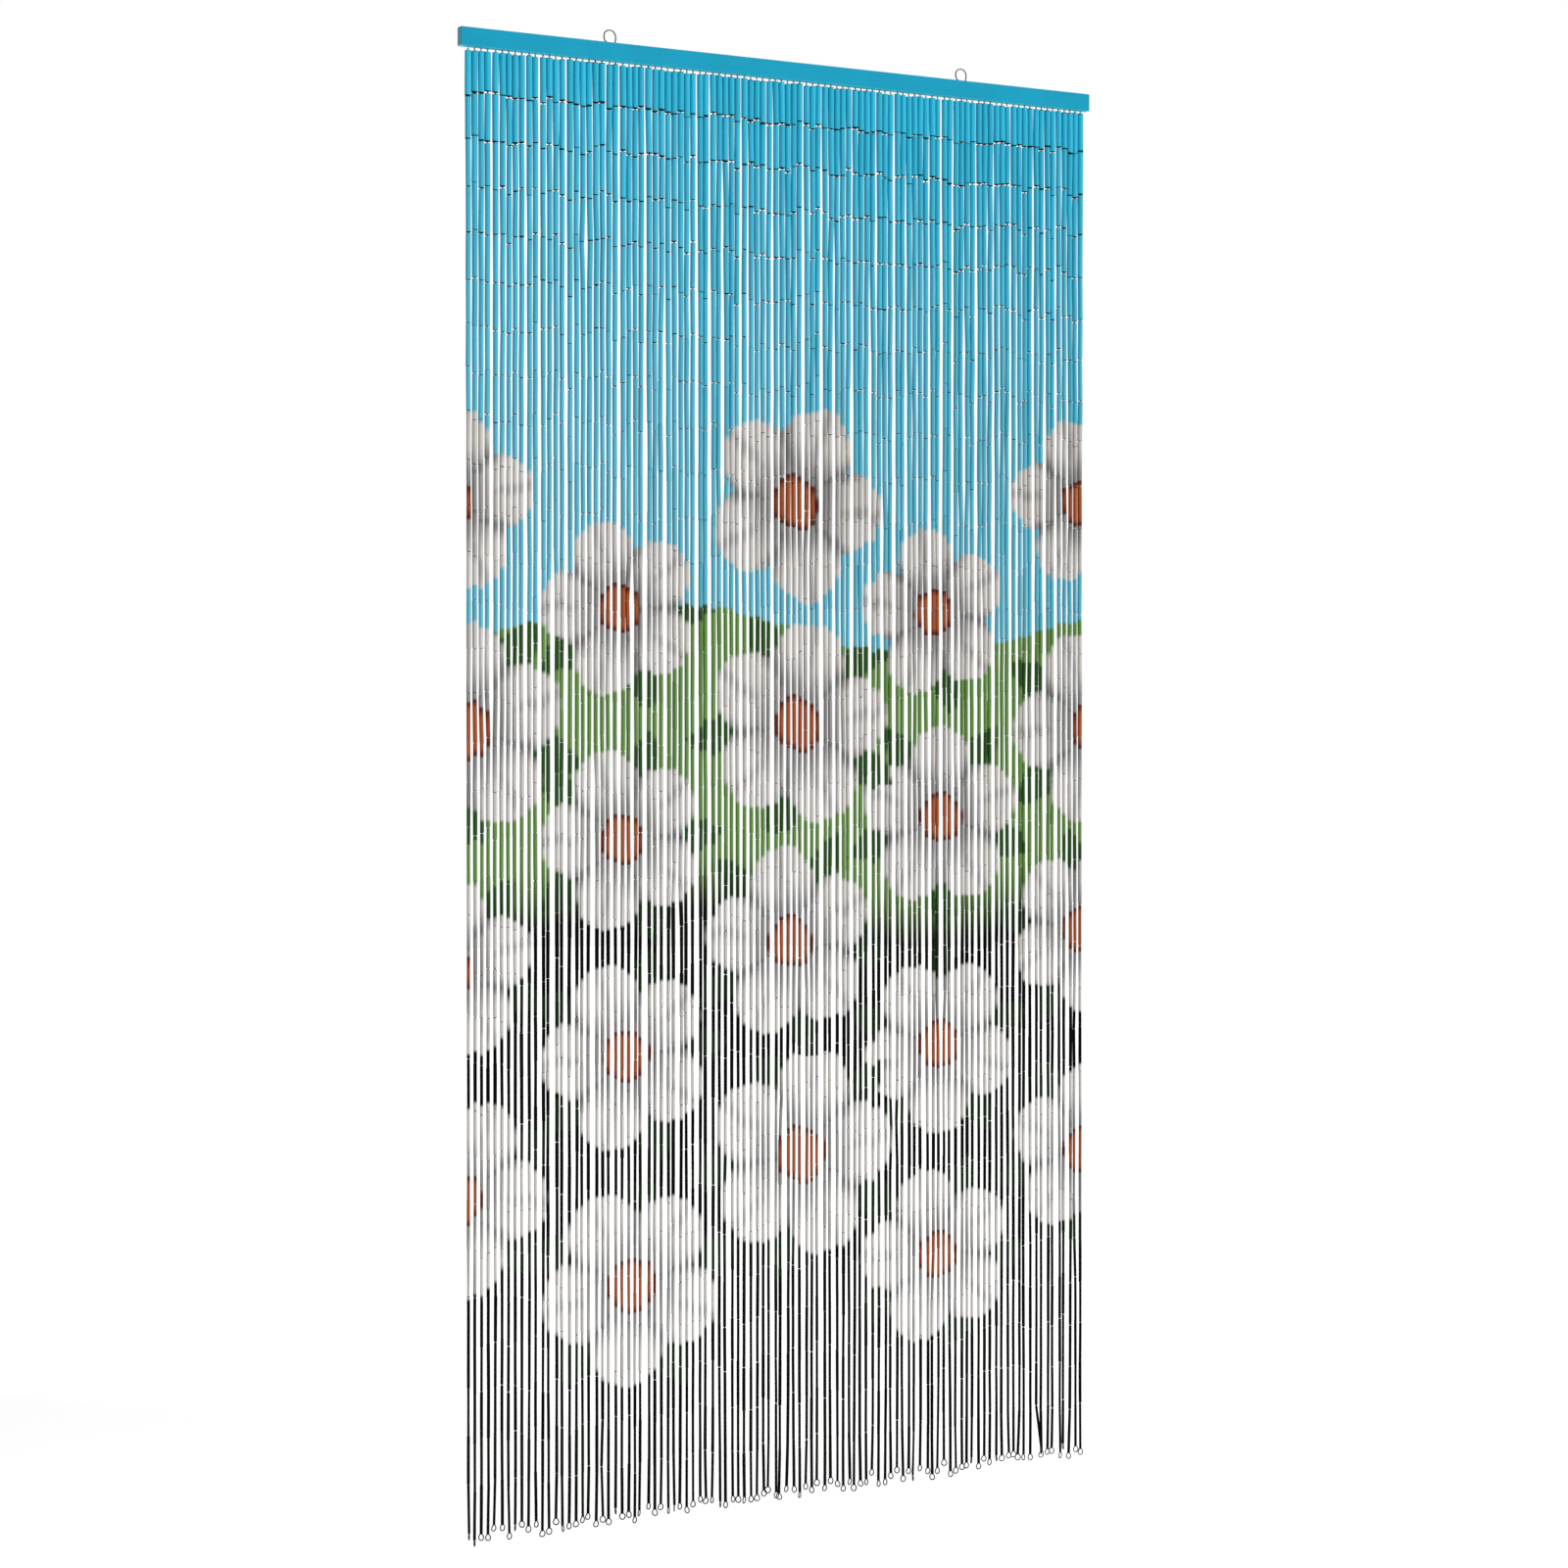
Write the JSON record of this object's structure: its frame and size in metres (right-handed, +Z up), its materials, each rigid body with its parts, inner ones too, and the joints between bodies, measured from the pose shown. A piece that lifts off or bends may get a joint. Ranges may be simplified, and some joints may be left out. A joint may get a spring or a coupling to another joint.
{
  "type": "bamboo door curtain on a wooden header rail",
  "caption": "String curtain of painted bamboo tubes linked by wire, hung from a wooden header rail with two screw eyes, that screens a doorway and parts as people walk through.",
  "frame": {"origin": "midway between the centres of the two screw eyes' rings, on the line of the hooks that the curtain hangs from", "axes": "+X along the rail to the right seen from the front, -Y out of the painted front, +Z up; the strands hang down -Z"},
  "size_m": [1, 0.012, 2.0272],
  "materials": {
    "rail_paint": "satin paint on planed wood",
    "zinc_plated_steel": "zinc plated",
    "painted_bamboo": "satin paint on bamboo tubes"
  },
  "bodies": {
    "root": {"header_rail": "rail_paint", "screw_eye_left": "zinc_plated_steel", "screw_eye_right": "zinc_plated_steel", "strand_bank_1": "painted_bamboo", "strand_bank_2": "painted_bamboo", "strand_bank_3": "painted_bamboo", "strand_bank_4": "painted_bamboo"}
  },
  "joints": []
}
